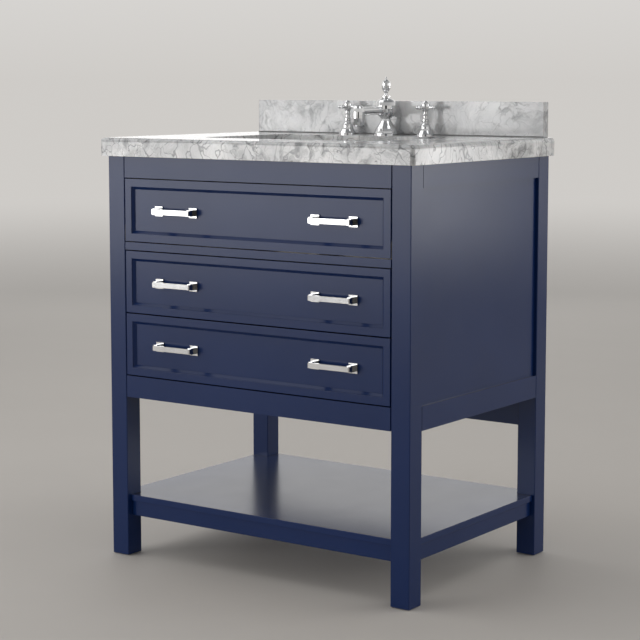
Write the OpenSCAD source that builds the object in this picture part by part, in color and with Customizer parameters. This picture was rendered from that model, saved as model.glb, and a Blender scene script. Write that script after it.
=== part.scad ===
// Bathroom vanity: a free-standing cabinet on four square legs, with a tip-out
// tray front, two drawers, an open shelf, a stone top with an undermount sink,
// a three-hole faucet, a pop-up drain and a trap.
// Inside the modules x runs across the front, y is zero at the front face of the
// legs and grows towards the wall, and z is the height above the floor.
// placed() moves the finished pieces so that the origin is the middle of the footprint.

/* [Cabinet] */
// Width across the outside of the legs
case_w = 750; // [720:1:780]
// Depth from the front face of the legs to the wall
case_d = 538; // [530:1:550]
// Height of the legs, up to the underside of the stone
case_h = 850; // [846:1:856]
// Side of the square legs
post = 43; // [40:1:46]
// Thickness of the rails and of the drawer fronts
board = 20; // [18:1:20]
// Height of the top rails
top_rail_h = 44.5; // [40:0.5:46]
// Height of the bottom rails
bottom_rail_h = 45.5; // [40:0.5:50]
// Height of the underside of the cabinet body above the floor
body_z = 343.5; // [338:0.5:348]
// Height of the shelf surface above the floor
shelf_z = 131.5; // [120:0.5:150]
// Thickness of the shelf board
shelf_t = 13.5; // [12:0.5:18]
// Height of the rails under the shelf
shelf_rail_h = 31.5; // [25:0.5:36]
// Width of the bevel along the long edges of legs and rails
arris = 1.2; // [0.5:0.1:1.6]

/* [Fronts and drawers] */
// Gap round each front
front_gap = 2.2; // [2:0.1:2.6]
// Height of the rail between the tip-out front and the drawers
mid_rail_h = 16; // [14:1:18]
// Width of the flat border round each front
border = 16; // [12:1:20]
// Width of the sloping moulding inside the border
moulding = 6; // [5:1:10]
// Depth of the recessed panel behind the border
recess = 7; // [5:0.5:8]
// Travel of the drawers
drawer_travel = 400; // [350:10:420]
// Length of the drawer slides
slide_len = 450; // [440:5:455]

/* [Handles] */
// Distance between the two feet of a handle
pull_pitch = 90; // [86:1:100]
// Distance of each handle's middle from the middle of the front
pull_x = 197; // [180:1:205]
// Distance that a handle stands in front of the legs
pull_reach = 16; // [15:1:26]

/* [Stone] */
// Thickness of the stone top
stone_t = 38; // [30:1:40]
// Overhang of the stone at the front and the sides
stone_over = 12.5; // [8:0.5:16]
// Radius of the rounded upper edge
stone_r = 10; // [8:1:20]
// Radius of the two front corners, seen from above
stone_corner_r = 8; // [4:1:12]
// Height of the backsplash
splash_h = 73.5; // [60:0.5:100]
// Thickness of the backsplash
splash_t = 20; // [18:1:22]

/* [Sink] */
// Width of the cut-out in the stone
cutout_w = 436; // [420:1:440]
// Depth of the cut-out, front to back
cutout_d = 296; // [290:1:298]
// Distance of the cut-out from the front face of the legs
cutout_y = 112; // [110:1:114]
// Depth of the bowl below the stone
bowl_depth = 150; // [146:1:154]
// Corner radius of the bowl
bowl_r = 30; // [24:1:44]

/* [Faucet] */
// Distance between the two tap handles
faucet_pitch = 203.2; // [202:0.2:206]
// Distance of the faucet from the front face of the legs
faucet_y = 487; // [486:1:489]
// Reach of the spout from its column to its outlet
spout_reach = 108; // [104:1:120]

/* [Hidden] */
$fn = 64;

navy = [0.14, 0.18, 0.32];
birch = [0.83, 0.70, 0.50];
marble = [0.88, 0.88, 0.89];
porcelain = [0.96, 0.96, 0.95];
chrome = [0.80, 0.81, 0.83];
steel = [0.62, 0.63, 0.65];
plastic = [0.90, 0.90, 0.89];

// Outline of the case
hx = case_w / 2;
in_x = hx - post;
back_post_y = case_d - post;
centre_y = (case_d - pull_reach) / 2;

// Heights of the openings in the front
top_rail_z = case_h - top_rail_h;
drawer_z = body_z + bottom_rail_h;
fronts_h = top_rail_z - drawer_z - mid_rail_h;
front_h = (fronts_h - 5 * front_gap) / 3;
lower_front_z = drawer_z + front_gap;
middle_front_z = lower_front_z + front_h + front_gap;
mid_rail_z = middle_front_z + front_h + front_gap;
tip_front_z = mid_rail_z + mid_rail_h + front_gap;
front_hx = in_x - 2.5;

// Grooves that part the rails from the legs
gap_w = 1.6;
gap_d = 5;

// Side walls of the case
side_rail_x = hx - 0.8;
side_rail_in = side_rail_x - board;
side_rail_low_z = body_z - 1.5;
side_panel_t = 9;
side_panel_x = side_rail_x - 6.2;
groove = 7;
tongue = 6.5;

// Rear bottom rail
rear_rail_z = 278;
rear_rail_top = 390;
rear_rail_y = back_post_y + 5;

// Legs stand on thin glides
glide_h = 2;
glide_r = 14;
nail_r = 3;
nail_len = 15;

// Panels in the fronts
panel_t = 6;
panel_tongue = 6;
frame_in_x = front_hx - border - moulding;

// Handles
foot_side = 20;
foot_t = 3;
stem_w = 8.5;
stem_h = 13;
bar_t = 5.5;
bar_h = 10.5;
bar_chamfer = 1.6;
screw_r = 2;
screw_head_r = 4.2;
screw_head_t = 2.4;

// Drawer boxes and slides
slide_t = 12.7;
box_hx = in_x - slide_t - 0.3;
wall = 12;
box_back = board + slide_len;
box_bottom_t = 6;
box_bottom_up = 8;
middle_box_z = middle_front_z + 14;
lower_box_z = lower_front_z + 12;
box_h = 102;
slide_up = 35;
slide_y = board + 2;
slide_web = 1.2;
notch_hx = 60;
notch_y = 200;

// Tip-out tray and hinges
tray_hx = 252;
tray_d = 35;
tray_z = tip_front_z + 24;
tray_h = 70;
tray_wall = 2;
hinge_y = 4;
hinge_z = tip_front_z + 4;
pin_r = 1.5;
pin_gap = 0.05;
leaf_t = 1;

// Stone, sink and drain
stone_hx = hx + stone_over;
deck_z = case_h + stone_t;
splash_hx = hx - 3;
cutout_hx = cutout_w / 2;
cutout_back = cutout_y + cutout_d;
reveal = 2;
bowl_hx = cutout_hx + reveal;
bowl_y0 = cutout_y - reveal;
bowl_y1 = cutout_back + reveal;
bowl_wall = 10;
flange_w = 22;
flange_t = 12;
bowl_z = case_h - bowl_depth;
drain_y = (bowl_y0 + bowl_y1) / 2 + 25;
drain_r = 20;
drain_in = 16;
drain_flange_r = 33;
drain_low = bowl_z - 60;
pivot_z = drain_low + 25;
pivot_y = drain_y + 27;
strap_y = pivot_y + 93;

// Trap
pipe_r = 15.9;
pipe_in = 14.4;
trap_r = 19;
trap_in = 16.4;
bend_r = 38;
trap_top_z = 603;
trap_z = 590;
arm_y = drain_y + 2 * bend_r;
elbow_r = 26;
arm_z = trap_z + 21 + elbow_r;
outlet_len = 36;

// Faucet
hot_x = -faucet_pitch / 2;
cold_x = faucet_pitch / 2;
shank_r = 12;
inlet_r = 10.4;
inlet_len = 30;
shank_low = case_h - 80;
hole_r = 17.5;
outlet_z = case_h - 35;
tube_r = 5;
rod_r = 2.5;
cross_z = deck_z + 60;
arm_up = 53;
outlet_up = 23;
waterway_r = 5.5;
drop_r = 7;
aerator_r = 9;

// Shared shapes

module placed() {
    translate([0, -centre_y, 0]) children();
}

module block(x0, x1, y0, y1, z0, z1) {
    translate([x0, y0, z0]) cube([x1 - x0, y1 - y0, z1 - z0]);
}

module both() {
    children();
    mirror([1, 0, 0]) children();
}

module along_x(x0, x1) {
    translate([x0, 0, 0]) rotate([90, 0, 90]) linear_extrude(x1 - x0) children();
}

module tube(r, r_in, h) {
    difference() {
        cylinder(r = r, h = h);
        translate([0, 0, -1]) cylinder(r = r_in, h = h + 2);
    }
}

// A bend of a pipe, from straight down to straight up, or a part of it
module pipe_bend(radius, r, r_in, turn) {
    rotate_extrude(angle = turn) translate([radius, 0]) difference() {
        circle(r = r);
        circle(r = r_in);
    }
}

// Rounded rectangle in plan, as a prism
module round_prism(x0, x1, y0, y1, z0, z1, r) {
    block(x0 + r, x1 - r, y0, y1, z0, z1);
    block(x0, x1, y0 + r, y1 - r, z0, z1);
    for (x = [x0 + r, x1 - r], y = [y0 + r, y1 - r])
        translate([x, y, z0]) cylinder(r = r, h = z1 - z0);
}

// The same prism with its lower edges rounded to the same radius
module bowl_form(x0, x1, y0, y1, z0, z1, r) {
    round_prism(x0, x1, y0, y1, z0 + r, z1, r);
    block(x0 + r, x1 - r, y0 + r, y1 - r, z0, z0 + r + 1);
    for (y = [y0 + r, y1 - r])
        translate([x0 + r, y, z0 + r]) rotate([0, 90, 0]) cylinder(r = r, h = x1 - x0 - 2 * r);
    for (x = [x0 + r, x1 - r])
        translate([x, y0 + r, z0 + r]) rotate([-90, 0, 0]) cylinder(r = r, h = y1 - y0 - 2 * r);
    for (x = [x0 + r, x1 - r], y = [y0 + r, y1 - r])
        translate([x, y, z0 + r]) sphere(r = r);
}

// Square leg with bevelled edges, a nail hole below and a groove for the side panel
module leg(x0, y0, groove_y) {
    a = arris;
    color(navy) placed() difference() {
        translate([x0, y0, glide_h]) linear_extrude(case_h - glide_h) polygon([
            [a, 0], [post - a, 0], [post, a], [post, post - a],
            [post - a, post], [a, post], [0, post - a], [0, a]
        ]);
        translate([x0 + post / 2, y0 + post / 2, glide_h - 1]) cylinder(r = nail_r, h = nail_len + 1);
        mirror([x0 < 0 ? 1 : 0, 0, 0])
            block(side_panel_x - side_panel_t, side_panel_x, groove_y, groove_y + groove,
                drawer_z - groove, top_rail_z + groove);
    }
}

// Rail across the front, with a narrow upright groove where it meets each leg
module front_rail(z0, z1) {
    color(navy) placed() translate([0, 0, z0]) linear_extrude(z1 - z0) polygon([
        [-in_x + gap_w, 0], [in_x - gap_w, 0], [in_x - gap_w, gap_d], [in_x, gap_d],
        [in_x, board], [-in_x, board], [-in_x, gap_d], [-in_x + gap_w, gap_d]
    ]);
}

// Rail along a side, with the same groove at the front leg and a slot for the side panel
module side_rail(z0, z1, groove_z) {
    difference() {
        translate([0, 0, z0]) linear_extrude(z1 - z0) polygon([
            [side_rail_in, post], [side_rail_x - gap_d, post], [side_rail_x - gap_d, post + gap_w],
            [side_rail_x, post + gap_w], [side_rail_x, back_post_y], [side_rail_in, back_post_y]
        ]);
        block(side_panel_x - side_panel_t, side_panel_x, post - 1, back_post_y + 1,
            groove_z, groove_z + groove);
    }
}

module side_panel() {
    block(side_panel_x - side_panel_t, side_panel_x, post - tongue, back_post_y + tongue,
        drawer_z - tongue, top_rail_z + tongue);
}

// Case

module front_left_post() leg(-hx, 0, post - groove);
module front_right_post() leg(in_x, 0, post - groove);
module rear_left_post() leg(-hx, back_post_y, back_post_y);
module rear_right_post() leg(in_x, back_post_y, back_post_y);

module front_top_rail() front_rail(top_rail_z, case_h);
module front_middle_rail() front_rail(mid_rail_z, mid_rail_z + mid_rail_h);
module front_bottom_rail() front_rail(body_z, drawer_z);

module side_top_rails() {
    color(navy) placed() both() side_rail(top_rail_z, case_h, top_rail_z);
}

module side_bottom_rails() {
    color(navy) placed() both() side_rail(side_rail_low_z, drawer_z, drawer_z - groove);
}

module side_panels() {
    color(navy) placed() both() side_panel();
}

// Two screw holes, at the usual spacing of wall studs
module rear_top_rail() {
    color(navy) placed() difference() {
        block(-in_x, in_x, case_d - board, case_d, top_rail_z, case_h);
        both() translate([203.2, case_d - board - 1, top_rail_z + top_rail_h / 2])
            rotate([-90, 0, 0]) cylinder(r = 2.5, h = board + 2);
    }
}

module rear_bottom_rail() {
    color(navy) placed()
        block(-in_x, in_x, rear_rail_y, rear_rail_y + board, rear_rail_z, rear_rail_top);
}

// Thin floor of the case, notched round the legs
module case_bottom_panel() {
    color(birch) placed() difference() {
        block(-side_rail_in, side_rail_in, board, rear_rail_y, body_z + 6, body_z + 15);
        both() block(in_x, hx, 0, post, body_z, body_z + 20);
        both() block(in_x, hx, back_post_y, case_d, body_z, body_z + 20);
    }
}

module corner_blocks() {
    side = 66;
    color(birch) placed() both() {
        translate([in_x, board, case_h - 22]) linear_extrude(22)
            polygon([[0, 0], [-side, 0], [0, side]]);
        translate([in_x, case_d - board, case_h - 22]) linear_extrude(22)
            polygon([[0, 0], [0, -side], [-side, 0]]);
    }
}

// Battens that carry the drawer slides level with the legs
module slide_cleats() {
    half = 27;
    color(birch) placed() both()
        for (z = [middle_box_z + slide_up, lower_box_z + slide_up])
            block(in_x, side_panel_x - side_panel_t, post, back_post_y, z - half, z + half);
}

module shelf_board() {
    color(navy) placed() difference() {
        block(-hx + 6, hx - 6, 10, case_d - 6, shelf_z - shelf_t, shelf_z);
        both() block(in_x, hx, 0, post, shelf_z - 50, shelf_z + 1);
        both() block(in_x, hx, back_post_y, case_d, shelf_z - 50, shelf_z + 1);
    }
}

module shelf_rails() {
    rail_t = 18;
    z1 = shelf_z - shelf_t;
    z0 = z1 - shelf_rail_h;
    color(navy) placed() {
        block(-in_x, in_x, 14, 14 + rail_t, z0, z1);
        block(-in_x, in_x, case_d - 10 - rail_t, case_d - 10, z0, z1);
        both() block(hx - 10 - rail_t, hx - 10, post, back_post_y, z0, z1);
    }
}

module leg_glides() {
    color(plastic) placed() both()
        for (y = [post / 2, case_d - post / 2])
            translate([hx - post / 2, y, 0]) {
                cylinder(r = glide_r, h = glide_h);
                cylinder(r = nail_r - 0.05, h = glide_h + nail_len - 0.5);
            }
}

// Stone and sink

module stone_top() {
    r = stone_r;
    c = stone_corner_r;
    color(marble) placed() difference() {
        intersection() {
            translate([0, case_d, 0]) rotate([90, 0, 0]) linear_extrude(case_d + stone_over)
                union() {
                    translate([-stone_hx, case_h]) square([2 * stone_hx, stone_t - r]);
                    translate([-stone_hx + r, case_h]) square([2 * (stone_hx - r), stone_t]);
                    for (x = [-stone_hx + r, stone_hx - r]) translate([x, deck_z - r]) circle(r = r);
                }
            along_x(-stone_hx, stone_hx) union() {
                translate([-stone_over, case_h]) square([case_d + stone_over, stone_t - r]);
                translate([-stone_over + r, case_h]) square([case_d + stone_over - r, stone_t]);
                translate([-stone_over + r, deck_z - r]) circle(r = r);
            }
            translate([0, 0, case_h - 1]) linear_extrude(stone_t + 2) union() {
                translate([-stone_hx, c - stone_over]) square([2 * stone_hx, case_d + stone_over - c]);
                translate([-stone_hx + c, -stone_over]) square([2 * (stone_hx - c), case_d + stone_over]);
                for (x = [-stone_hx + c, stone_hx - c]) translate([x, c - stone_over]) circle(r = c);
            }
        }
        round_prism(-cutout_hx, cutout_hx, cutout_y, cutout_back, case_h - 1, deck_z + 1, bowl_r - reveal);
        for (x = [hot_x, 0, cold_x])
            translate([x, faucet_y, case_h - 1]) cylinder(r = hole_r, h = stone_t + 2);
    }
}

module stone_backsplash() {
    color(marble) placed()
        block(-splash_hx, splash_hx, case_d - splash_t, case_d, deck_z, deck_z + splash_h);
}

module sink_bowl() {
    o = bowl_wall;
    f = flange_w;
    color(porcelain) placed() difference() {
        union() {
            bowl_form(-bowl_hx - o, bowl_hx + o, bowl_y0 - o, bowl_y1 + o, bowl_z - o, case_h, bowl_r + o);
            round_prism(-bowl_hx - f, bowl_hx + f, bowl_y0 - f, bowl_y1 + f,
                case_h - flange_t, case_h, bowl_r + f);
        }
        bowl_form(-bowl_hx, bowl_hx, bowl_y0, bowl_y1, bowl_z, case_h + 1, bowl_r);
        translate([0, drain_y, bowl_z - 20]) cylinder(r = drain_r, h = 30);
    }
}

// Clips that hold the flange of the bowl up against the stone
module sink_clips() {
    color(steel) placed() both() for (x = [70, 190], front = [0, 1]) {
        y = front == 1 ? bowl_y0 - flange_w : bowl_y1 + flange_w;
        s = front == 1 ? -1 : 1;
        translate([x, y, case_h]) scale_y(s) {
            block(-12, 12, -10, 15, -flange_t - 3, -flange_t);
            block(-12, 12, 12, 15, -flange_t, 0);
            translate([0, 6, -flange_t - 10]) cylinder(r = 3, h = flange_t + 10);
            translate([0, 6, -flange_t - 8]) cylinder(r = 6, h = 5, $fn = 6);
        }
    }
}

module scale_y(s) {
    mirror([0, s < 0 ? 1 : 0, 0]) children();
}

// Faucet

// Turned column of the spout, from the deck upwards
module spout_column() {
    rotate_extrude() polygon([
        [rod_r + 1.5, 0], [27, 0], [27, 2.5], [25.5, 4], [24.5, 8], [22, 14], [18, 20],
        [13.5, 26], [10.5, 31], [9.5, 35], [12, 37], [13.5, 39.5], [19, 43.5], [22, 49],
        [23.4, 57], [23.2, 64], [21, 71], [16.5, 76], [11, 79], [7.5, 80.5], [7.5, 81.5],
        [10.5, 82.5], [10.5, 84.5], [8, 85.5], [rod_r + 1.5, 85.5]
    ]);
}

// Bell at the end of the arm, with the outlet below
module spout_bell() {
    rotate_extrude() polygon([
        [0, outlet_up], [12, outlet_up], [12.8, 30], [13.4, 38], [13.6, 45], [13.3, 51.5],
        [11.6, 59], [8.5, 63.6], [4.5, 66], [0, 66.5]
    ]);
}

module spout_body() {
    arm_r = 9;
    color(chrome) placed() translate([0, faucet_y, deck_z]) {
        difference() {
            union() {
                spout_column();
                translate([0, -8, arm_up]) rotate([90, 0, 0]) cylinder(r = arm_r, h = spout_reach - 14);
                translate([0, -spout_reach, 0]) spout_bell();
            }
            translate([0, 0, arm_up]) rotate([90, 0, 0]) cylinder(r = waterway_r, h = spout_reach - 3);
            translate([0, -spout_reach, outlet_up]) cylinder(r = drop_r, h = arm_up - outlet_up + 1);
            translate([0, -spout_reach, outlet_up - 1]) cylinder(r = aerator_r, h = 8);
        }
        // Threaded shank under the stone, with the tee that takes the two tubes
        translate([0, 0, outlet_z - 9 - deck_z]) tube(shank_r, rod_r + 1.5, deck_z - outlet_z + 9);
        difference() {
            translate([0, 0, outlet_z - deck_z]) rotate([0, 90, 0])
                translate([0, 0, -22]) cylinder(r = 9, h = 44);
            translate([0, 0, outlet_z - deck_z - 10]) cylinder(r = shank_r, h = 20);
            translate([0, 0, outlet_z - deck_z]) rotate([0, 90, 0])
                translate([0, 0, -23]) cylinder(r = tube_r, h = 46);
        }
    }
}

module spout_aerator() {
    color(steel) placed() translate([0, faucet_y - spout_reach, deck_z + outlet_up - 2])
        tube(aerator_r, drop_r - 1, 8.5);
}

// Bell-shaped base of a tap, with its shank and its side outlet
module valve(x, side) {
    color(chrome) placed() translate([x, faucet_y, deck_z]) {
        rotate_extrude() polygon([
            [0, 0], [20, 0], [20, 2.5], [18.5, 4], [16, 7], [13, 11], [11.8, 15], [11.5, 19],
            [10, 23], [7, 26], [6, 29], [8, 31], [8, 33.5], [6, 35.5], [5.2, 38], [5.2, 42], [0, 42]
        ]);
        translate([0, 0, shank_low - deck_z]) cylinder(r = inlet_r, h = inlet_len);
        translate([0, 0, shank_low + inlet_len - deck_z])
            cylinder(r = shank_r, h = deck_z - shank_low - inlet_len);
        difference() {
            translate([0, 0, outlet_z - deck_z]) rotate([0, 90 * side, 0]) cylinder(r = 8.5, h = 24);
            translate([side * 12, 0, outlet_z - deck_z]) rotate([0, 90 * side, 0])
                cylinder(r = tube_r, h = 14);
        }
    }
}

module hot_valve_body() valve(hot_x, 1);
module cold_valve_body() valve(cold_x, -1);

module faucet_nuts() {
    color(steel) placed() for (x = [hot_x, 0, cold_x])
        translate([x, faucet_y, case_h - 14]) {
            translate([0, 0, 11]) tube(22, shank_r + 0.1, 3);
            difference() {
                cylinder(r = 17, h = 11, $fn = 6);
                translate([0, 0, -1]) cylinder(r = shank_r + 0.1, h = 13);
            }
        }
}

// Tubes that bring hot and cold water from the taps to the spout
module crossover_tubes() {
    color(steel) placed() both()
        translate([14, faucet_y, outlet_z]) rotate([0, 90, 0])
            tube(tube_r - 0.1, tube_r - 1.5, cold_x - 14 - 13);
}

// Cross handle: hub on the spindle, four arms with ball ends and a domed cap
module cross_handle(x) {
    color(chrome) placed() translate([x, faucet_y, cross_z]) {
        rotate_extrude() polygon([
            [0, -17.5], [5.2, -17.5], [6, -15.5], [5, -13], [4.8, -9], [7, -6.5], [8.6, -3], [9, 2],
            [8.5, 7], [7, 11], [4, 14], [0, 15]
        ]);
        for (turn = [0:90:270]) rotate([0, 0, turn]) {
            translate([6, 0, 0]) rotate([0, 90, 0]) cylinder(r1 = 3.8, r2 = 2.6, h = 14);
            translate([21, 0, 0]) sphere(r = 4);
        }
    }
}

module hot_handle() cross_handle(hot_x);
module cold_handle() cross_handle(cold_x);

// Knob on top of the spout, on the rod that works the drain
module lift_rod() {
    low = shank_low - 10;
    color(chrome) placed() translate([0, faucet_y, 0]) {
        translate([0, 0, low]) cylinder(r = rod_r, h = deck_z + 88 - low);
        translate([0, 0, deck_z + 86]) rotate_extrude() polygon([
            [0, 0], [4, 0.3], [4.8, 1.6], [3.4, 4], [4.6, 7], [7.6, 11], [9.8, 16], [10.4, 21],
            [10, 26], [8.6, 30], [5.4, 32], [3.2, 34], [2.6, 37], [1.4, 40], [0, 40]
        ]);
    }
}

// Sloping strap that joins the rod to the lever, with a row of holes and a collar
module clevis_strap() {
    top_z = shank_low - 4;
    run = faucet_y - strap_y - rod_r - 1;
    fall = top_z - pivot_z;
    len = sqrt(run * run + fall * fall);
    lean = atan(run / fall);
    color(steel) placed() {
        translate([0, strap_y, pivot_z]) rotate([-lean, 0, 0]) difference() {
            translate([-6.5, -0.75, -12]) cube([13, 1.5, len + 10]);
            for (z = [0, 22, 44]) translate([0, -2, z]) rotate([-90, 0, 0]) cylinder(r = 5, h = 4);
        }
        translate([0, faucet_y, top_z - 6]) tube(5.5, rod_r, 9);
    }
}

// Lever with its ball in the side of the drain body
module pivot_rod() {
    color(steel) placed() translate([0, pivot_y, pivot_z]) {
        translate([0, -27, 0]) rotate([-90, 0, 0]) cylinder(r = 2, h = 27 + 93 + 14);
        sphere(r = 5.6);
        translate([-5.5, 0, 0]) rotate([0, 90, 0]) cylinder(r = 2, h = 11);
    }
}

module stopper() {
    lift = 9.1;
    color(chrome) placed() translate([0, drain_y, bowl_z + 2.5 + lift]) {
        rotate_extrude() polygon([
            [0, 0], [12, 0], [13, 1], [19, 1.5], [19, 3], [15, 5], [8, 6], [0, 6.3]
        ]);
        translate([0, 0, pivot_z + 3.9 - (bowl_z + 2.5 + lift)])
            cylinder(r = 4, h = bowl_z + 2.5 + lift - pivot_z - 3.9);
    }
}

// Drain and trap

module drain_body() {
    color(chrome) placed() translate([0, drain_y, 0]) difference() {
        union() {
            translate([0, 0, drain_low]) cylinder(r = drain_r - 0.2, h = bowl_z - drain_low + 1);
            translate([0, 0, bowl_z]) cylinder(r1 = drain_flange_r, r2 = drain_flange_r - 4, h = 2.5);
            translate([0, 0, pivot_z]) rotate([-90, 0, 0]) cylinder(r = 9, h = 33);
        }
        translate([0, 0, drain_low - 1]) cylinder(r = drain_in, h = 90);
        translate([0, 10, pivot_z]) rotate([-90, 0, 0]) cylinder(r = 6, h = 30);
    }
}

module drain_tailpiece() {
    color(chrome) placed() translate([0, drain_y, trap_z + 2])
        tube(pipe_r, pipe_in, drain_low + 12 - trap_z - 2);
}

module trap_bend() {
    color(plastic) placed() {
        translate([0, drain_y, trap_z]) tube(trap_r, trap_in, trap_top_z - trap_z);
        translate([0, arm_y, trap_z]) tube(trap_r, trap_in, trap_top_z - trap_z);
        translate([0, drain_y + bend_r, trap_z]) rotate([0, 90, 0]) rotate([0, 0, -90])
            pipe_bend(bend_r, trap_r, trap_in, 180);
    }
}

// Pipe to the wall, with a bead that stops the wall fitting
module trap_arm() {
    up = arm_z - elbow_r - trap_z - 2;
    color(chrome) placed() {
        translate([0, arm_y, trap_z + 2]) tube(pipe_r, pipe_in, up);
        translate([0, arm_y + elbow_r, arm_z - elbow_r]) rotate([0, -90, 0])
            rotate([0, 0, 180]) mirror([1, 0, 0]) pipe_bend(elbow_r, pipe_r, pipe_in, 90);
        translate([0, arm_y + elbow_r, arm_z]) rotate([-90, 0, 0])
            tube(pipe_r, pipe_in, case_d - arm_y - elbow_r);
        translate([0, case_d - outlet_len - 2, arm_z]) rotate([-90, 0, 0])
            tube(pipe_r + 1.6, pipe_in, 2);
    }
}

// Slip nuts on the two ends of the trap, and the nut under the bowl
module trap_nuts() {
    color(plastic) placed() {
        for (y = [drain_y, arm_y]) translate([0, y, trap_top_z - 12]) difference() {
            cylinder(r = 25, h = 17, $fn = 8);
            translate([0, 0, -1]) cylinder(r = trap_r + 0.05, h = 13);
            translate([0, 0, 11]) cylinder(r = pipe_r + 0.1, h = 8);
        }
        translate([0, drain_y, bowl_z - bowl_wall - 12]) difference() {
            cylinder(r = 31, h = 12, $fn = 8);
            translate([0, 0, -1]) cylinder(r = drain_r - 0.1, h = 14);
        }
    }
}

// Fronts, drawers and slides

// Opening in a front: a straight lip, then a slope on all four sides
module moulded_opening(z0, z1) {
    a = front_hx - border;
    lip = 1;
    intersection() {
        translate([0, 0, z0]) linear_extrude(z1 - z0) polygon([
            [-a, -1], [a, -1], [a, lip], [a - moulding, recess], [a - moulding, board + 1],
            [moulding - a, board + 1], [moulding - a, recess], [-a, lip]
        ]);
        along_x(-in_x, in_x) polygon([
            [-1, z0 + border], [lip, z0 + border], [recess, z0 + border + moulding],
            [board + 1, z0 + border + moulding], [board + 1, z1 - border - moulding],
            [recess, z1 - border - moulding], [lip, z1 - border], [-1, z1 - border]
        ]);
    }
}

module panel_form(z0) {
    inset = border + moulding - panel_tongue;
    block(-front_hx + inset, front_hx - inset, recess, recess + panel_t,
        z0 + inset, z0 + front_h - inset);
}

module pull_places(z0) {
    for (x = [-pull_x, pull_x]) translate([x, 0, z0 + front_h / 2]) children();
}

module screw_holes(z0, r, y0, y1) {
    pull_places(z0) both() translate([pull_pitch / 2, y0, 0]) rotate([-90, 0, 0])
        cylinder(r = r, h = y1 - y0);
}

module front_frame(z0) {
    difference() {
        block(-front_hx, front_hx, 0, board, z0, z0 + front_h);
        moulded_opening(z0, z0 + front_h);
        panel_form(z0);
    }
}

module front_panel(z0) {
    difference() {
        panel_form(z0);
        screw_holes(z0, screw_r + 0.2, recess - 1, recess + panel_t + 1);
    }
}

// Two bar handles on square feet, and the screws that hold them
module handles(z0, screw_end) {
    bar_hx = pull_pitch / 2 + stem_w / 2;
    bar_y = bar_t - pull_reach;
    c = bar_chamfer;
    pull_places(z0) {
        both() translate([pull_pitch / 2, 0, 0]) {
            block(-foot_side / 2, foot_side / 2, recess - foot_t, recess,
                -foot_side / 2, foot_side / 2);
            block(-stem_w / 2, stem_w / 2, bar_y, recess - foot_t, -stem_h / 2, stem_h / 2);
            translate([0, recess, 0]) rotate([-90, 0, 0]) cylinder(r = screw_r, h = screw_end - recess);
            translate([0, screw_end, 0]) rotate([-90, 0, 0])
                cylinder(r = screw_head_r, h = screw_head_t);
        }
        translate([0, 0, -bar_h / 2]) linear_extrude(bar_h) polygon([
            [-bar_hx + c, -pull_reach], [bar_hx - c, -pull_reach], [bar_hx, c - pull_reach],
            [bar_hx, bar_y], [-bar_hx, bar_y], [-bar_hx, c - pull_reach]
        ]);
    }
}

// Walls of a drawer box, without the groove for the bottom
module box_walls(z0) {
    z1 = z0 + box_h;
    both() block(box_hx - wall, box_hx, board, box_back, z0, z1);
    block(-box_hx + wall, box_hx - wall, board, board + wall, z0, z1);
    block(-box_hx + wall, box_hx - wall, box_back - wall, box_back, z0, z1);
}

module box_bottom(z0) {
    grip = 5;
    block(-box_hx + wall - grip, box_hx - wall + grip, board + wall - grip,
        box_back - wall + grip, z0 + box_bottom_up, z0 + box_bottom_up + box_bottom_t);
}

module notch_space(z0, margin) {
    block(-notch_hx - margin, notch_hx + margin, notch_y - margin, box_back + 1, z0 - 1, z0 + box_h + 1);
}

// Channel of a slide seen end on, its web on the far side from the drawer
module channel(web_x, depth, half) {
    polygon([
        [web_x, -half], [web_x, half], [web_x - depth, half], [web_x - depth, half - slide_web],
        [web_x - slide_web, half - slide_web], [web_x - slide_web, slide_web - half],
        [web_x - depth, slide_web - half], [web_x - depth, -half]
    ]);
}

module slide_run(z) {
    translate([0, slide_y + slide_len, z]) rotate([90, 0, 0]) linear_extrude(slide_len) children();
}

module slide_outer_members() {
    color(steel) placed() both() for (z = [middle_box_z + slide_up, lower_box_z + slide_up])
        slide_run(z) channel(in_x, 10.5, 22.5);
}

module carriers(z) {
    color(steel) placed() both() slide_run(z) channel(in_x - 2.1, 8.4, 19.8);
}

module drawer_slides(z) {
    color(steel) placed() both() slide_run(z) translate([2 * box_hx, 0]) mirror([1, 0])
        channel(box_hx, 8.2, 17.1);
}

module middle_slide_carriers() {
    carriers(middle_box_z + slide_up);
}

module lower_slide_carriers() {
    carriers(lower_box_z + slide_up);
}

// Tip-out front

module tip_out_frame() {
    color(navy) placed() difference() {
        front_frame(tip_front_z);
        both() translate([front_hx - 5, hinge_y, hinge_z]) rotate([0, 90, 0])
            cylinder(r = pin_r + pin_gap, h = 6);
    }
}

module tip_out_panel() {
    color(navy) placed() front_panel(tip_front_z);
}

module tip_out_tray() {
    t = tray_wall;
    color(plastic) placed() difference() {
        block(-tray_hx, tray_hx, board, board + tray_d, tray_z, tray_z + tray_h);
        block(-tray_hx + t, tray_hx - t, board + t, board + tray_d - t, tray_z + t, tray_z + tray_h + 1);
    }
}

module tip_out_handles() {
    color(chrome) placed() handles(tip_front_z, recess + panel_t);
}

// Plate on each end of the tip-out front that turns on the pin
module tip_out_hinge_leaves() {
    color(steel) placed() both() difference() {
        block(front_hx, front_hx + leaf_t, 1, board - 2, tip_front_z + 0.5, tip_front_z + 30);
        translate([front_hx - 1, hinge_y, hinge_z]) rotate([0, 90, 0])
            cylinder(r = pin_r + pin_gap, h = leaf_t + 2);
    }
}

// Plate on each leg with the pin that the front turns on
module tip_out_hinge_pins() {
    color(steel) placed() both() {
        block(in_x - leaf_t, in_x, 1.5, board - 2, tip_front_z, tip_front_z + 34);
        translate([front_hx - 4.5, hinge_y, hinge_z]) rotate([0, 90, 0])
            cylinder(r = pin_r, h = in_x - front_hx + 4);
    }
}

// Middle drawer, with a bay open at the back that clears the trap

module middle_drawer_frame() {
    color(navy) placed() front_frame(middle_front_z);
}

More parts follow.
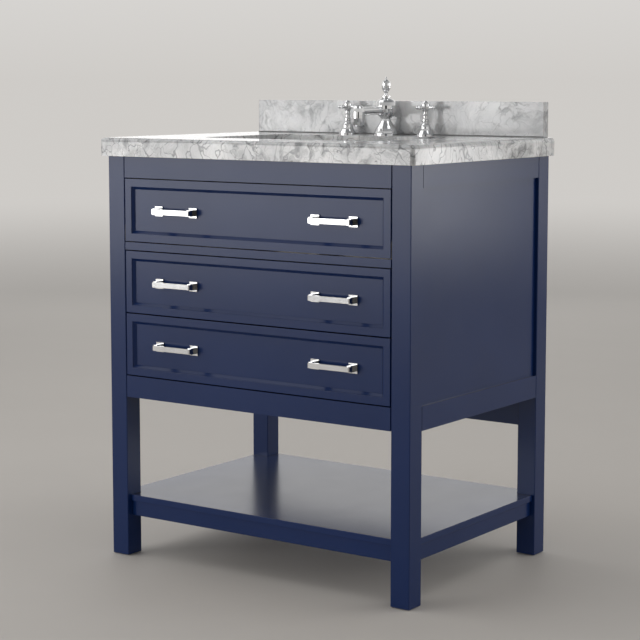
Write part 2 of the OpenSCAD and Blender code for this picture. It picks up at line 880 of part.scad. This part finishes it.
module middle_drawer_panel() {
    color(navy) placed() front_panel(middle_front_z);
}

module middle_drawer_box() {
    z0 = middle_box_z;
    color(birch) placed() difference() {
        union() {
            box_walls(z0);
            difference() {
                block(-notch_hx - wall, notch_hx + wall, notch_y - wall, box_back, z0, z0 + box_h);
                notch_space(z0, 0);
            }
        }
        notch_space(z0, 0);
        difference() {
            box_bottom(z0);
            notch_space(z0, wall - 5);
        }
        screw_holes(middle_front_z, screw_r + 0.2, board - 1, board + wall + 1);
    }
}

module middle_drawer_bottom() {
    color(birch) placed() difference() {
        box_bottom(middle_box_z);
        notch_space(middle_box_z, wall - 5);
    }
}

module middle_drawer_handles() {
    color(chrome) placed() handles(middle_front_z, board + wall);
}

module middle_drawer_slides() {
    drawer_slides(middle_box_z + slide_up);
}

// Lower drawer

module lower_drawer_frame() {
    color(navy) placed() front_frame(lower_front_z);
}

module lower_drawer_panel() {
    color(navy) placed() front_panel(lower_front_z);
}

module lower_drawer_box() {
    color(birch) placed() difference() {
        box_walls(lower_box_z);
        box_bottom(lower_box_z);
        screw_holes(lower_front_z, screw_r + 0.2, board - 1, board + wall + 1);
    }
}

module lower_drawer_bottom() {
    color(birch) placed() box_bottom(lower_box_z);
}

module lower_drawer_handles() {
    color(chrome) placed() handles(lower_front_z, board + wall);
}

module lower_drawer_slides() {
    drawer_slides(lower_box_z + slide_up);
}

front_left_post();
front_right_post();
rear_left_post();
rear_right_post();
front_top_rail();
front_middle_rail();
front_bottom_rail();
side_top_rails();
side_bottom_rails();
side_panels();
rear_top_rail();
rear_bottom_rail();
case_bottom_panel();
corner_blocks();
slide_cleats();
shelf_board();
shelf_rails();
leg_glides();
stone_top();
stone_backsplash();
sink_bowl();
sink_clips();
spout_body();
spout_aerator();
hot_valve_body();
cold_valve_body();
faucet_nuts();
crossover_tubes();
drain_body();
drain_tailpiece();
trap_bend();
trap_arm();
trap_nuts();
slide_outer_members();
tip_out_hinge_pins();
hot_handle();
cold_handle();
lift_rod();
clevis_strap();
pivot_rod();
stopper();
tip_out_frame();
tip_out_panel();
tip_out_tray();
tip_out_handles();
tip_out_hinge_leaves();
middle_drawer_frame();
middle_drawer_panel();
middle_drawer_box();
middle_drawer_bottom();
middle_drawer_handles();
middle_drawer_slides();
middle_slide_carriers();
lower_drawer_frame();
lower_drawer_panel();
lower_drawer_box();
lower_drawer_bottom();
lower_drawer_handles();
lower_drawer_slides();
lower_slide_carriers();
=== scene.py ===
# Looks of the bathroom vanity: finishes, softened edges, small pieces, floor, light and camera.
# Lengths are metres in the frame of the CAD model: +X right, +Y towards the wall, +Z up.
import math

import bmesh
import bpy
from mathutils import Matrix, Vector


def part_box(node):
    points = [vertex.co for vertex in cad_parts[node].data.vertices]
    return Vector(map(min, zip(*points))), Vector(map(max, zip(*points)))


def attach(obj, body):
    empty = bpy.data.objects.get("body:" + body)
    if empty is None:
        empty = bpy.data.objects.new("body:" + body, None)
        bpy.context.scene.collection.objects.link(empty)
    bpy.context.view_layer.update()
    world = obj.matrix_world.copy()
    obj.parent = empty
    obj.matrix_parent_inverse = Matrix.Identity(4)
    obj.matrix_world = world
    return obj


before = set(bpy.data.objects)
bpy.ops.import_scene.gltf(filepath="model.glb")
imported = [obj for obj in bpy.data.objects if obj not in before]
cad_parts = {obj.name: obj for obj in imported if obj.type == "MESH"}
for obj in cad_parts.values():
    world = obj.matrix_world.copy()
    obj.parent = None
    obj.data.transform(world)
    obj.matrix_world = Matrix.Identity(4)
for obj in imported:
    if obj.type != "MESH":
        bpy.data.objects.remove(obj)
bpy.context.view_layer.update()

MM = 0.001
scene = bpy.context.scene

# Nearly all the values of a noise lie between these two
MIDDLE = (0.3, 0.7)


# ---------------------------------------------------------------- materials

class Net:
    """A material's nodes. add() makes a node, and sets or links its inputs by name or number."""

    def __init__(self, name):
        self.material = bpy.data.materials.new(name)
        self.material.use_nodes = True
        self.tree = self.material.node_tree
        self.tree.nodes.clear()
        self.output = self.tree.nodes.new("ShaderNodeOutputMaterial")
        self.place = self.add("ShaderNodeTexCoord").outputs["Object"]

    def add(self, kind, inputs=(), **settings):
        node = self.tree.nodes.new(kind)
        for key, value in settings.items():
            setattr(node, key, value)
        for key, value in dict(inputs).items():
            if isinstance(value, bpy.types.NodeSocket):
                self.tree.links.new(value, node.inputs[key])
            else:
                node.inputs[key].default_value = value
        return node

    def stretched(self, scale, turn=(0, 0, 0)):
        """Object coordinates, scaled by a number for each axis, so that noise can run along one."""
        return self.add("ShaderNodeMapping", {
            "Vector": self.place, "Scale": scale, "Rotation": turn,
        }).outputs["Vector"]

    def noise(self, scale, detail=3.0, rough=0.5, distortion=0.0, at=None):
        return self.add("ShaderNodeTexNoise", {
            "Vector": at or self.place, "Scale": scale, "Detail": detail,
            "Roughness": rough, "Distortion": distortion,
        }).outputs["Fac"]

    def levels(self, value, low, high, to_low=0.0, to_high=1.0):
        """Moves the stretch low..high of a value to to_low..to_high, and clamps it."""
        return self.add("ShaderNodeMapRange", {
            "Value": value, "From Min": low, "From Max": high, "To Min": to_low, "To Max": to_high,
        }).outputs["Result"]

    def math(self, operation, a, b=0.5):
        return self.add("ShaderNodeMath", {0: a, 1: b}, operation=operation).outputs["Value"]

    def ridge(self, value, width):
        """1 along the line where a noise passes through its middle, falling to 0 at width from it."""
        away = self.math("ABSOLUTE", self.math("SUBTRACT", value, 0.5))
        return self.levels(away, 0.0, width, 1.0, 0.0)

    def mix(self, share, a, b, blend="MIX"):
        node = self.add("ShaderNodeMix", {0: share}, data_type="RGBA", blend_type=blend)
        for socket, value in ((node.inputs[6], a), (node.inputs[7], b)):
            if isinstance(value, bpy.types.NodeSocket):
                self.tree.links.new(value, socket)
            else:
                socket.default_value = (*value, 1.0)
        return node.outputs[2]

    def bump(self, height, depth, strength=1.0, under=None):
        inputs = {"Height": height, "Distance": depth, "Strength": strength}
        if under:
            inputs["Normal"] = under
        return self.add("ShaderNodeBump", inputs).outputs["Normal"]

    def finish(self, **inputs):
        """Ends the material in one Principled shader. Words in the names are joined by _."""
        shader = self.add("ShaderNodeBsdfPrincipled")
        for key, value in inputs.items():
            socket = shader.inputs[key.replace("_", " ")]
            if isinstance(value, bpy.types.NodeSocket):
                self.tree.links.new(value, socket)
            elif isinstance(value, tuple):
                socket.default_value = (*value, 1.0)
            else:
                socket.default_value = value
        self.tree.links.new(shader.outputs[0], self.output.inputs[0])
        return self.material


def navy_paint(name, grain):
    """Satin paint over close-grained wood. grain is the scale of the grain along each axis."""
    net = Net(name)
    cloud = net.noise(5.0, 2.0)
    colour = net.mix(net.levels(cloud, *MIDDLE), (0.0034, 0.0170, 0.078), (0.0046, 0.0195, 0.088))
    fibres = net.noise(1.0, 4.0, 0.6, at=net.stretched(grain))
    colour = net.mix(net.levels(fibres, 0.35, 0.75, 0.0, 0.25), colour, (0.0070, 0.020, 0.082))
    smear = net.noise(14.0, 3.0, 0.5)
    peel = net.noise(420.0, 2.0)
    normal = net.bump(peel, 0.00003, 0.2)
    normal = net.bump(fibres, 0.00004, 0.15, normal)
    return net.finish(Base_Color=colour, Normal=normal, Roughness=net.levels(smear, *MIDDLE, 0.215, 0.235),
        IOR=1.34)


def marble(name, veined, clouded):
    """Polished white marble. veined and clouded are how strong its veins and its grey clouds are."""
    net = Net(name)
    warp = net.add("ShaderNodeTexNoise", {
        "Vector": net.place, "Scale": 7.0, "Detail": 4.0, "Roughness": 0.55,
    }).outputs["Color"]
    pull = net.add("ShaderNodeVectorMath", {0: warp, 1: (0.5, 0.5, 0.5)}, operation="SUBTRACT")
    pull = net.add("ShaderNodeVectorMath", {0: pull.outputs[0], "Scale": 0.16}, operation="SCALE")
    bent = net.add("ShaderNodeVectorMath", {0: net.place, 1: pull.outputs[0]}, operation="ADD").outputs[0]
    lean = net.add("ShaderNodeMapping", {
        "Vector": bent, "Rotation": (0.5, 0.6, 0.7), "Scale": (0.8, 2.0, 1.0),
    }).outputs["Vector"]
    cells = net.add("ShaderNodeTexVoronoi", {"Vector": lean, "Scale": 26.0}, feature="DISTANCE_TO_EDGE")
    fine = net.add("ShaderNodeTexVoronoi", {"Vector": lean, "Scale": 70.0}, feature="DISTANCE_TO_EDGE")
    width = net.levels(net.noise(16.0, 5.0, 0.6), 0.44, 0.68, 0.0, 0.11)
    net_veins = net.levels(net.math("DIVIDE", cells.outputs["Distance"], net.math("ADD", width, 0.001)),
        0.2, 1.0, 0.85 * veined, 0.0)
    hair_veins = net.levels(fine.outputs["Distance"], 0.0, 0.05, 0.6 * veined, 0.0)
    hair_veins = net.math("MULTIPLY", hair_veins, net.levels(net.noise(11.0, 4.0), 0.46, 0.60))
    broad = net.ridge(net.noise(5.5, 6.0, 0.62, 0.5, bent), 0.016)
    broad = net.math("MULTIPLY", broad, net.levels(net.noise(4.0, 2.0), 0.45, 0.6, 0.0, 0.8 * veined))
    clouds = net.levels(net.noise(8.0, 8.0, 0.62, 0.4, bent), 0.38, 0.66, 0.0, clouded)
    spots = net.levels(net.noise(24.0, 7.0, 0.68, 0.5, bent), 0.50, 0.64, 0.0, 0.9 * clouded)
    spots = net.math("MULTIPLY", spots, net.levels(net.noise(6.0, 3.0), 0.40, 0.58, 0.15, 1.0))
    colour = net.mix(clouds, (0.75, 0.75, 0.752), (0.37, 0.375, 0.385))
    colour = net.mix(spots, colour, (0.095, 0.098, 0.104))
    colour = net.mix(hair_veins, colour, (0.14, 0.143, 0.15))
    colour = net.mix(net_veins, colour, (0.075, 0.078, 0.085))
    colour = net.mix(broad, colour, (0.10, 0.105, 0.115))
    grains = net.noise(260.0, 3.0, 0.7)
    colour = net.mix(net.levels(grains, 0.5, 0.8, 0.0, 0.22), colour, (0.5, 0.5, 0.51))
    rough = net.levels(net.noise(30.0, 4.0), *MIDDLE, 0.08, 0.15)
    return net.finish(Base_Color=colour, Roughness=rough, IOR=1.5,
        Normal=net.bump(net.noise(140.0, 2.0), 0.00006, 0.2),
        Subsurface_Weight=0.05, Subsurface_Scale=0.004)


def chrome(name, tone, smooth, dull):
    """Plated brass. tone is its brightness, smooth and dull the ends of its roughness."""
    net = Net(name)
    film = net.noise(45.0, 5.0, 0.65)
    hairs = net.noise(1.0, 3.0, 0.6, at=net.stretched((900.0, 900.0, 120.0), (0.3, 0.5, 0.2)))
    colour = net.mix(net.levels(film, *MIDDLE), (0.92 * tone, 0.93 * tone, 0.95 * tone), (tone, tone, tone))
    return net.finish(Base_Color=colour, Metallic=1.0, Roughness=net.levels(film, 0.35, 0.75, smooth, dull),
        Normal=net.bump(hairs, 0.00003, 0.12))


def black_oxide(name):
    """Blackened steel with a faint brown bloom."""
    net = Net(name)
    bloom = net.noise(160.0, 4.0, 0.6)
    colour = net.mix(net.levels(bloom, 0.35, 0.7), (0.020, 0.020, 0.022), (0.045, 0.043, 0.042))
    return net.finish(Base_Color=colour, Metallic=0.85, Roughness=net.levels(bloom, *MIDDLE, 0.34, 0.5),
        Normal=net.bump(net.noise(900.0, 2.0), 0.00004, 0.4))


def plated_steel(name):
    """Zinc plated strip, rolled along Y, with a trace of spangle."""
    net = Net(name)
    rolled = net.noise(1.0, 4.0, 0.6, at=net.stretched((700.0, 14.0, 700.0)))
    spangle = net.add("ShaderNodeTexVoronoi", {"Vector": net.place, "Scale": 240.0}).outputs["Distance"]
    colour = net.mix(net.levels(rolled, *MIDDLE), (0.46, 0.47, 0.49), (0.62, 0.63, 0.64))
    colour = net.mix(net.levels(spangle, 0.0, 0.7, 0.0, 0.25), colour, (0.40, 0.41, 0.44))
    return net.finish(Base_Color=colour, Metallic=1.0, Roughness=net.levels(rolled, *MIDDLE, 0.26, 0.40),
        Normal=net.bump(rolled, 0.00008, 0.3))


def porcelain(name):
    """White glaze that pools a little, with a few specks."""
    net = Net(name)
    pool = net.noise(14.0, 3.0)
    colour = net.mix(net.levels(pool, *MIDDLE), (0.86, 0.86, 0.845), (0.90, 0.90, 0.89))
    specks = net.levels(net.noise(330.0, 2.0), 0.72, 0.80, 0.0, 0.10)
    colour = net.mix(specks, colour, (0.55, 0.54, 0.50))
    return net.finish(Base_Color=colour, Roughness=net.levels(pool, *MIDDLE, 0.07, 0.12), IOR=1.52,
        Normal=net.bump(net.noise(38.0, 2.0), 0.00035, 0.25), Coat_Weight=0.5, Coat_Roughness=0.04)


def birch(name, along):
    """Lacquered birch. along is the axis that the grain follows, 0 for X or 1 for Y.

    Boards that face along the grain run across it, as the ends of a drawer box do.
    """
    net = Net(name)
    normal = net.add("ShaderNodeNewGeometry").outputs["True Normal"]
    facing = net.add("ShaderNodeSeparateXYZ", {0: normal}).outputs[along]
    across = net.math("GREATER_THAN", net.math("ABSOLUTE", facing), 0.7)

    def run(thick, long):
        """Coordinates for rings or pores, with their scales across and along the grain."""
        places = []
        for axis in (along, 1 - along):
            scale = [thick, thick, thick]
            scale[axis] = long
            places.append(net.stretched(tuple(scale)))
        # Sockets 4 and 5, and output 1, are the vector ones
        return net.add("ShaderNodeMix", {0: across, 4: places[0], 5: places[1]},
            data_type="VECTOR").outputs[1]

    rings = net.noise(1.0, 5.0, 0.55, 0.9, run(34.0, 1.7))
    streaks = net.noise(1.0, 3.0, 0.6, at=run(900.0, 26.0))
    colour = net.mix(net.levels(rings, *MIDDLE), (0.66, 0.47, 0.27), (0.50, 0.325, 0.16))
    colour = net.mix(net.levels(streaks, 0.5, 0.75, 0.0, 0.45), colour, (0.34, 0.20, 0.09))
    return net.finish(Base_Color=colour, Roughness=net.levels(rings, *MIDDLE, 0.38, 0.5), IOR=1.48,
        Normal=net.bump(streaks, 0.00015, 0.3), Coat_Weight=0.15, Coat_Roughness=0.3)


def moulded_plastic(name, dark, light, rough):
    """Fine-grained plastic, rubber or cloth between two tones."""
    net = Net(name)
    cloud = net.noise(18.0, 3.0)
    grain = net.noise(1500.0, 2.0)
    colour = net.mix(net.levels(cloud, *MIDDLE), dark, light)
    return net.finish(Base_Color=colour, Roughness=net.levels(cloud, *MIDDLE, rough, rough + 0.08),
        Normal=net.bump(grain, 0.00004, 0.4))


def floor_material(name, far, near_edge, far_edge):
    """Pale matt floor that turns into the light of the horizon between two distances from the middle."""
    net = Net(name)
    cloud = net.noise(1.3, 4.0, 0.6)
    colour = net.mix(net.levels(cloud, *MIDDLE), (0.56, 0.525, 0.485), (0.595, 0.56, 0.52))
    reach = net.add("ShaderNodeVectorMath", {0: net.place}, operation="LENGTH").outputs["Value"]
    haze = net.add("ShaderNodeMapRange", {
        "Value": reach, "From Min": near_edge, "From Max": far_edge, "To Min": 0.0, "To Max": 1.0,
    }, interpolation_type="SMOOTHSTEP").outputs["Result"]
    net.finish(Base_Color=colour, Roughness=net.levels(cloud, *MIDDLE, 0.6, 0.7),
        Normal=net.bump(net.noise(300.0, 3.0), 0.0002, 0.3))
    ground = net.output.inputs[0].links[0].from_socket
    glow = net.add("ShaderNodeEmission", {"Color": (*far, 1.0), "Strength": 1.0})
    blend = net.add("ShaderNodeMixShader", {0: haze, 1: ground, 2: glow.outputs[0]})
    net.tree.links.new(blend.outputs[0], net.output.inputs[0])
    return net.material


# Grain scales: long along X, Y or Z
GRAIN_X = (9.0, 700.0, 700.0)
GRAIN_Y = (700.0, 9.0, 700.0)
GRAIN_Z = (700.0, 700.0, 9.0)
paint_x = navy_paint("navy_paint_across", GRAIN_X)
paint_y = navy_paint("navy_paint_deep", GRAIN_Y)
paint_z = navy_paint("navy_paint_upright", GRAIN_Z)
stone = marble("veined_marble", 0.85, 0.85)
back_stone = marble("clouded_marble", 0.35, 1.0)
bright = chrome("polished_chrome", 0.80, 0.03, 0.07)
pull_chrome = chrome("satin_chrome", 0.50, 0.14, 0.19)
blackened = black_oxide("black_oxide_steel")
zinc = plated_steel("zinc_plated_steel")
glaze = porcelain("white_glaze")
birch_x = birch("birch_across", 0)
birch_y = birch("birch_deep", 1)
white = moulded_plastic("white_plastic", (0.72, 0.72, 0.70), (0.78, 0.78, 0.765), 0.30)
black = moulded_plastic("black_plastic", (0.012, 0.012, 0.013), (0.022, 0.022, 0.023), 0.45)
caulk = moulded_plastic("silicone", (0.10, 0.10, 0.10), (0.15, 0.15, 0.148), 0.35)

FINISHES = {
    paint_z: "front_left_post front_right_post rear_left_post rear_right_post side_panels",
    paint_x: "front_top_rail front_middle_rail front_bottom_rail rear_top_rail rear_bottom_rail shelf_board "
        "shelf_rails tip_out_frame tip_out_panel middle_drawer_frame middle_drawer_panel "
        "lower_drawer_frame lower_drawer_panel",
    paint_y: "side_top_rails side_bottom_rails",
    stone: "stone_top",
    back_stone: "stone_backsplash",
    glaze: "sink_bowl",
    bright: "spout_body hot_valve_body cold_valve_body drain_body drain_tailpiece trap_arm hot_handle "
        "cold_handle lift_rod stopper",
    pull_chrome: "tip_out_handles middle_drawer_handles lower_drawer_handles",
    blackened: "tip_out_hinge_pins tip_out_hinge_leaves",
    zinc: "sink_clips spout_aerator faucet_nuts crossover_tubes slide_outer_members "
        "clevis_strap pivot_rod middle_drawer_slides middle_slide_carriers "
        "lower_drawer_slides lower_slide_carriers",
    birch_y: "case_bottom_panel slide_cleats middle_drawer_box lower_drawer_box",
    birch_x: "corner_blocks middle_drawer_bottom lower_drawer_bottom",
    white: "trap_bend trap_nuts tip_out_tray",
    black: "leg_glides",
}
for material, names in FINISHES.items():
    for name in names.split():
        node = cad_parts[name]
        node.data.materials.clear()
        node.data.materials.append(material)


# ---------------------------------------------------------------- softened edges

WELD_GAP = 0.01 * MM
SHARP_ANGLE = math.radians(35.0)


def soften(names, width, segments=2):
    """Rounds the sharp edges of CAD nodes with modifiers. Their own meshes stay as they are."""
    for name in names.split():
        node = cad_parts[name]
        weld = node.modifiers.new("weld", "WELD")
        weld.merge_threshold = WELD_GAP
        bevel = node.modifiers.new("soft_edges", "BEVEL")
        bevel.width = width
        bevel.segments = segments
        bevel.limit_method = "ANGLE"
        bevel.angle_limit = SHARP_ANGLE
        bevel.harden_normals = True
        bevel.use_clamp_overlap = True


soften("tip_out_frame middle_drawer_frame lower_drawer_frame", 0.8 * MM)
soften("shelf_board shelf_rails rear_bottom_rail rear_top_rail stone_backsplash", 1.0 * MM)
soften("stone_top", 1.2 * MM, 3)
soften("tip_out_handles middle_drawer_handles lower_drawer_handles", 0.25 * MM)
soften("middle_drawer_box lower_drawer_box tip_out_tray corner_blocks slide_cleats", 0.6 * MM)


# ---------------------------------------------------------------- small pieces

def swept_strip(name, outline, low_x, high_x, y, z, material):
    """A strip along X on the cabinet. outline lists its section as (y, z) from the given y and z."""
    form = bmesh.new()
    rings = [[form.verts.new((x, y + dy, z + dz)) for dy, dz in outline] for x in (low_x, high_x)]
    count = len(outline)
    for i in range(count):
        j = (i + 1) % count
        form.faces.new((rings[0][i], rings[0][j], rings[1][j], rings[1][i]))
    form.faces.new(rings[0][::-1])
    form.faces.new(rings[1])
    bmesh.ops.recalc_face_normals(form, faces=form.faces)
    mesh = bpy.data.meshes.new(name)
    form.to_mesh(mesh)
    form.free()
    mesh.materials.append(material)
    piece = bpy.data.objects.new(name, mesh)
    scene.collection.objects.link(piece)
    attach(piece, "cabinet")


# Black sheets of painted shade between the posts, close behind the upper and lower edges of the three
# fronts, so that the gaps around the fronts show dark; the real cabinet has nothing there
STRIP_T = 1.0 * MM
STRIP_LAP = 2.0 * MM
STRIP_BEHIND = 0.5 * MM
EASE = 0.2 * MM
# Near-black matt finish of the painted shade in the gaps around the fronts
gap_shade = moulded_plastic("painted_gap_shade", (0.004, 0.004, 0.005), (0.009, 0.009, 0.010), 0.9)
tip_low, tip_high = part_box("tip_out_frame")
mid_low, mid_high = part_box("middle_drawer_frame")
bottom_low, bottom_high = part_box("lower_drawer_frame")
strip_y = tip_high[1] + STRIP_BEHIND
for name, from_z, to_z in (
        ("gap_shade_strip_top", tip_high[2] - STRIP_LAP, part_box("front_top_rail")[0][2] - EASE),
        ("gap_shade_strip_middle", mid_high[2] - STRIP_LAP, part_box("front_middle_rail")[0][2] - EASE),
        ("gap_shade_strip_between", bottom_high[2] - STRIP_LAP, mid_low[2] + STRIP_LAP),
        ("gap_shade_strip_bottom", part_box("front_bottom_rail")[1][2] + EASE, bottom_low[2] + STRIP_LAP)):
    tall = to_z - from_z
    outline = [(0, EASE), (EASE, 0), (STRIP_T, 0), (STRIP_T, tall), (EASE, tall), (0, tall - EASE)]
    swept_strip(name, outline, tip_low[0], tip_high[0], strip_y, from_z, gap_shade)

# Bead of silicone in the corner between the backsplash and the top
BEAD = 2.2 * MM
TUCK = 0.1 * MM
splash_low, splash_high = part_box("stone_backsplash")
cove = [(TUCK, -TUCK), (-BEAD, 0.0), (-0.62 * BEAD, 0.14 * BEAD), (-0.33 * BEAD, 0.33 * BEAD),
    (-0.14 * BEAD, 0.62 * BEAD), (0.0, BEAD), (TUCK, BEAD)]
swept_strip("backsplash_bead", cove, splash_low[0], splash_high[0], splash_low[1], splash_low[2], caulk)


# ---------------------------------------------------------------- floor, light and camera

# Light of the horizon, in the sky and in the far floor alike, so that they join without a line
HORIZON = (0.62, 0.60, 0.575)
FLOOR_SIZE = 60.0


def stage_sheet(name, width, height, material):
    """A flat rectangle about the origin that isn't part of the object."""
    x, y = width / 2, height / 2
    mesh = bpy.data.meshes.new(name)
    mesh.from_pydata([(-x, -y, 0), (x, -y, 0), (x, y, 0), (-x, y, 0)], [], [(0, 1, 2, 3)])
    mesh.materials.append(material)
    sheet = bpy.data.objects.new(name, mesh)
    scene.collection.objects.link(sheet)
    return sheet


def aim(thing, at, towards):
    """Puts a lamp or a board at one point, facing another, and hides it from the camera."""
    thing.location = at
    thing.rotation_euler = (Vector(towards) - Vector(at)).to_track_quat("-Z", "Y").to_euler()
    thing.visible_camera = False


def softbox(name, at, towards, width, height, radiance):
    """A glowing rectangle. A mirror would show it at its radiance."""
    light = bpy.data.lights.new(name, "AREA")
    light.shape = "RECTANGLE"
    light.size = width
    light.size_y = height
    light.energy = radiance * width * height * math.pi
    lamp = bpy.data.objects.new(name, light)
    aim(lamp, at, towards)
    scene.collection.objects.link(lamp)


def flag(name, at, towards, width, height):
    """A black board. Bright metal shows it as its dark parts."""
    cloth = moulded_plastic("black_cloth", (0.006, 0.006, 0.006), (0.010, 0.010, 0.010), 0.85)
    aim(stage_sheet(name, width, height, cloth), at, towards)


def sky(ground, glow, high):
    """World light: the glow of the horizon, fading upwards to a dimmer ceiling.

    The ramp runs from straight down at 0 to straight up at 1, with the horizon at 0.5.
    """
    world = bpy.data.worlds.new("studio")
    world.use_nodes = True
    nodes, links = world.node_tree.nodes, world.node_tree.links
    nodes.clear()
    place = nodes.new("ShaderNodeTexCoord")
    split = nodes.new("ShaderNodeSeparateXYZ")
    ramp = nodes.new("ShaderNodeValToRGB")
    height = nodes.new("ShaderNodeMapRange")
    height.inputs["From Min"].default_value = -1.0
    back = nodes.new("ShaderNodeBackground")
    out = nodes.new("ShaderNodeOutputWorld")
    stops = ramp.color_ramp.elements
    stops[0].position, stops[0].color = 0.40, (*ground, 1.0)
    stops[1].position, stops[1].color = 0.90, (*high, 1.0)
    for position, colour in ((0.46, HORIZON), (0.50, HORIZON), (0.56, glow), (0.63, glow)):
        stops.new(position).color = (*colour, 1.0)
    links.new(place.outputs["Generated"], split.inputs[0])
    links.new(split.outputs["Z"], height.inputs["Value"])
    links.new(height.outputs["Result"], ramp.inputs["Fac"])
    links.new(ramp.outputs["Color"], back.inputs["Color"])
    links.new(back.outputs[0], out.inputs[0])
    scene.world = world


def camera(at, heading, dip, lens, shift):
    """heading turns the view from +Y towards -X, and dip lowers it below the horizon, in degrees."""
    data = bpy.data.cameras.new("camera")
    data.sensor_width = 36.0
    data.lens = lens
    data.shift_y = shift
    view = bpy.data.objects.new("camera", data)
    view.location = at
    view.rotation_euler = (math.radians(90.0 - dip), 0.0, math.radians(heading))
    scene.collection.objects.link(view)
    scene.camera = view


camera(at=(2.181, -3.1124, 1.008), heading=35.23, dip=6.31, lens=102.1, shift=-0.062)
stage_sheet("floor", FLOOR_SIZE, FLOOR_SIZE,
    floor_material("pale_floor", far=HORIZON, near_edge=1.2, far_edge=12.0))
sky(ground=(0.30, 0.29, 0.28), glow=(0.76, 0.75, 0.735), high=(0.24, 0.245, 0.25))

# Name, place, the point that it faces, width, height and radiance. The first two stand where the front
# and the right side of the painted body mirror them above the middle, and only the floor below it.
for card in (
        ("card_front", (-2.40, -3.60, 0.98), (0.0, -0.26, 0.98), 2.6, 1.5, 4.6),
        ("card_side", (3.55, 2.73, 1.02), (1.55, -0.73, 1.02), 2.8, 1.4, 3.7),
        ("overhead_left", (-2.0, -0.5, 3.4), (0.0, -0.26, 0.6), 2.8, 2.8, 1.25),
        ("overhead_right", (1.6, 0.2, 3.2), (0.1, 0.0, 0.6), 1.2, 1.2, 1.5),
        ("card_back", (-2.5, 3.8, 1.35), (0.0, 0.0, 0.5), 3.2, 1.2, 0.62)):
    softbox(*card)
flag("black_flag", (3.1, -4.5, 1.1), (0.0, -0.26, 0.9), 2.0, 2.6)
scene.view_settings.view_transform = "Standard"
